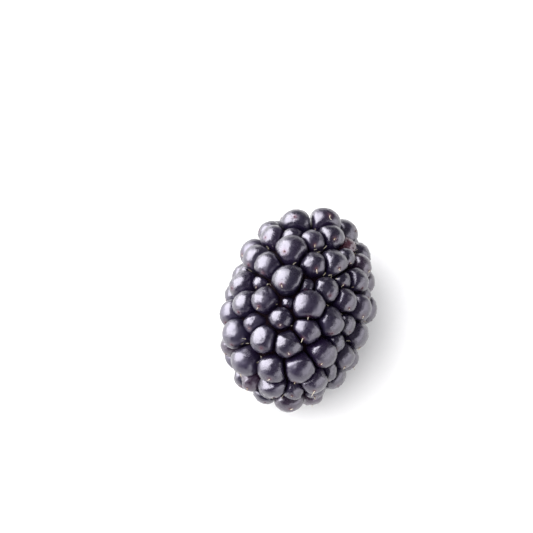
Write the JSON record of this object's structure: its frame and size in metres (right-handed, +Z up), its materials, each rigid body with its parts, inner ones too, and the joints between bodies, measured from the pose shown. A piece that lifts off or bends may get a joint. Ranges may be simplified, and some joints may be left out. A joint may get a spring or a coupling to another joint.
{
  "type": "bramble berry",
  "caption": "Ripe picked bramble berry lying on its side: glossy blue-black drupelets packed round a receptacle whose pale end shows at the stem end.",
  "frame": {"origin": "on the surface that the berry lies on, under the middle of its box", "axes": "+Z up; the berry's axis runs along Y, with the tip towards -Y and the stem end towards +Y"},
  "size_m": [0.0244, 0.0318, 0.0238],
  "materials": {
    "drupelet_skin": "satin-glossy blue-black fruit skin with a thin waxy bloom",
    "receptacle_flesh": "matt, pale greenish cream, fibrous"
  },
  "bodies": {
    "root": {"drupelets": "drupelet_skin", "receptacle_end": "receptacle_flesh"}
  },
  "joints": []
}
